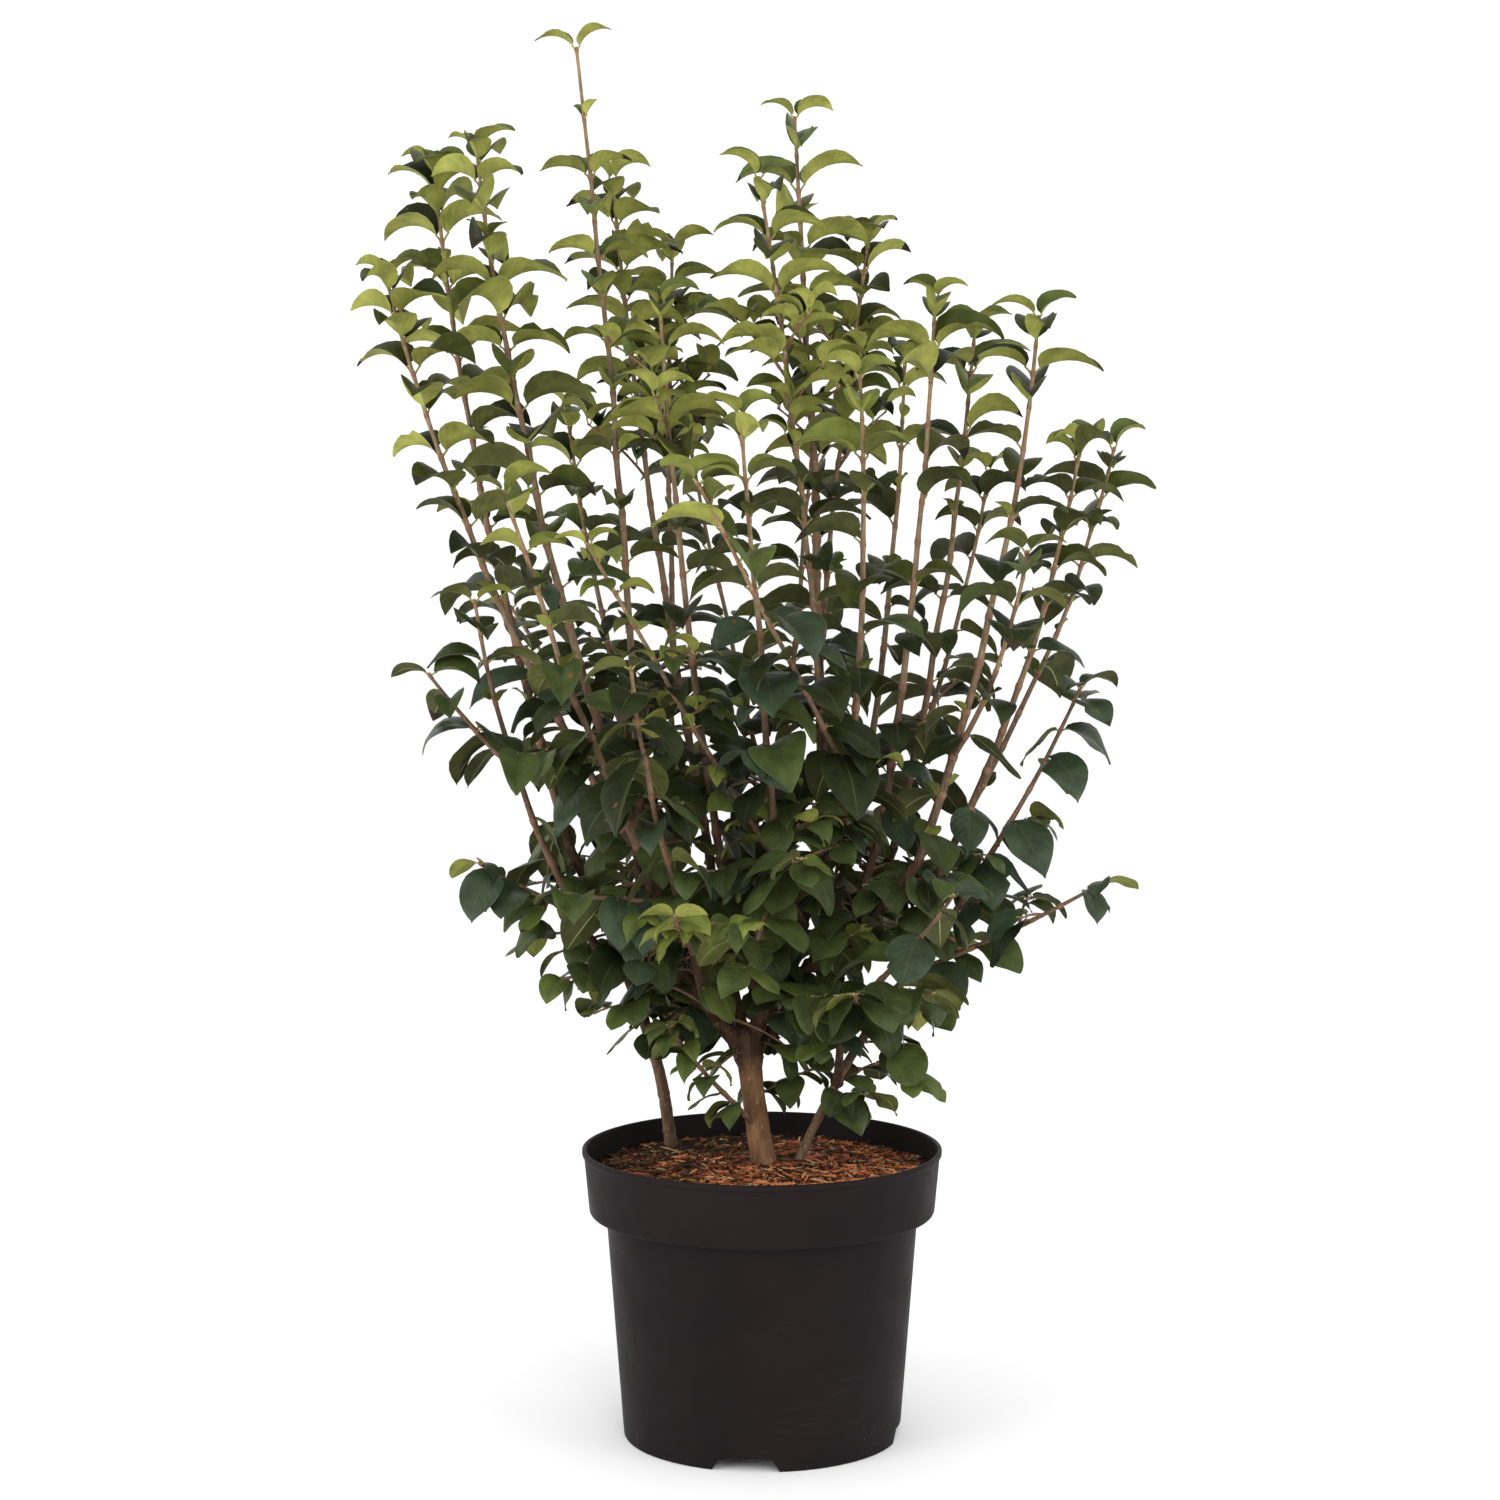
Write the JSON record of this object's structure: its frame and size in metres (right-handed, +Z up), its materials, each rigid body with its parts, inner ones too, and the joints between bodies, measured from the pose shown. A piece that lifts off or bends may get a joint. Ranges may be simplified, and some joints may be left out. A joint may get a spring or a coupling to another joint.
{
  "type": "potted lilac shrub",
  "caption": "Upright branching shrub with paired leaves on straight canes, growing from bark mulch in a round black nursery pot.",
  "frame": {"origin": "centre of the pot's underside, at the level that it stands on", "axes": "+Z up along the pot's axis, -Y the front of the plant as pictured, +X to its right"},
  "size_m": [0.6138, 0.454, 1.0883],
  "materials": {
    "pot": "matte moulded black plastic with light scuffs",
    "soil": "loose reddish bark mulch",
    "bark": "grey-brown bark, smooth with raised pores",
    "foliage": "satin green leaves, paler below"
  },
  "bodies": {
    "root": {"bough_back_left": "bark", "bough_back_low_left": "bark", "bough_back_low_right": "bark", "bough_back_middle": "bark", "bough_back_right": "bark", "bough_far_left": "bark", "bough_far_right": "bark", "bough_front_left_low": "bark", "bough_front_middle": "bark", "bough_front_right": "bark", "bough_front_right_low": "bark", "bough_left": "bark", "bough_left_front": "bark", "bough_left_low": "bark", "bough_left_rear": "bark", "bough_middle": "bark", "bough_middle_left": "bark", "bough_middle_rear": "bark", "bough_right": "bark", "bough_right_inner": "bark", "bough_right_rear": "bark", "foliage_back_left": "foliage", "foliage_back_low_left": "foliage", "foliage_back_low_right": "foliage", "foliage_back_middle": "foliage", "foliage_back_right": "foliage", "foliage_far_left": "foliage", "foliage_far_right": "foliage", "foliage_foot": "foliage", "foliage_front_left_low": "foliage", "foliage_front_middle": "foliage", "foliage_front_right": "foliage", "foliage_front_right_low": "foliage", "foliage_left_front": "foliage", "foliage_left_low": "foliage", "foliage_left_rear": "foliage", "foliage_left_tall": "foliage", "foliage_middle_left": "foliage", "foliage_middle_rear": "foliage", "foliage_middle_tall": "foliage", "foliage_right_inner": "foliage", "foliage_right_low": "foliage", "foliage_right_outer": "foliage", "foliage_right_rear": "foliage", "foliage_tallest": "foliage", "pot": "pot", "soil": "soil", "stem_left": "bark", "stem_right": "bark", "trunk": "bark"}
  },
  "joints": []
}
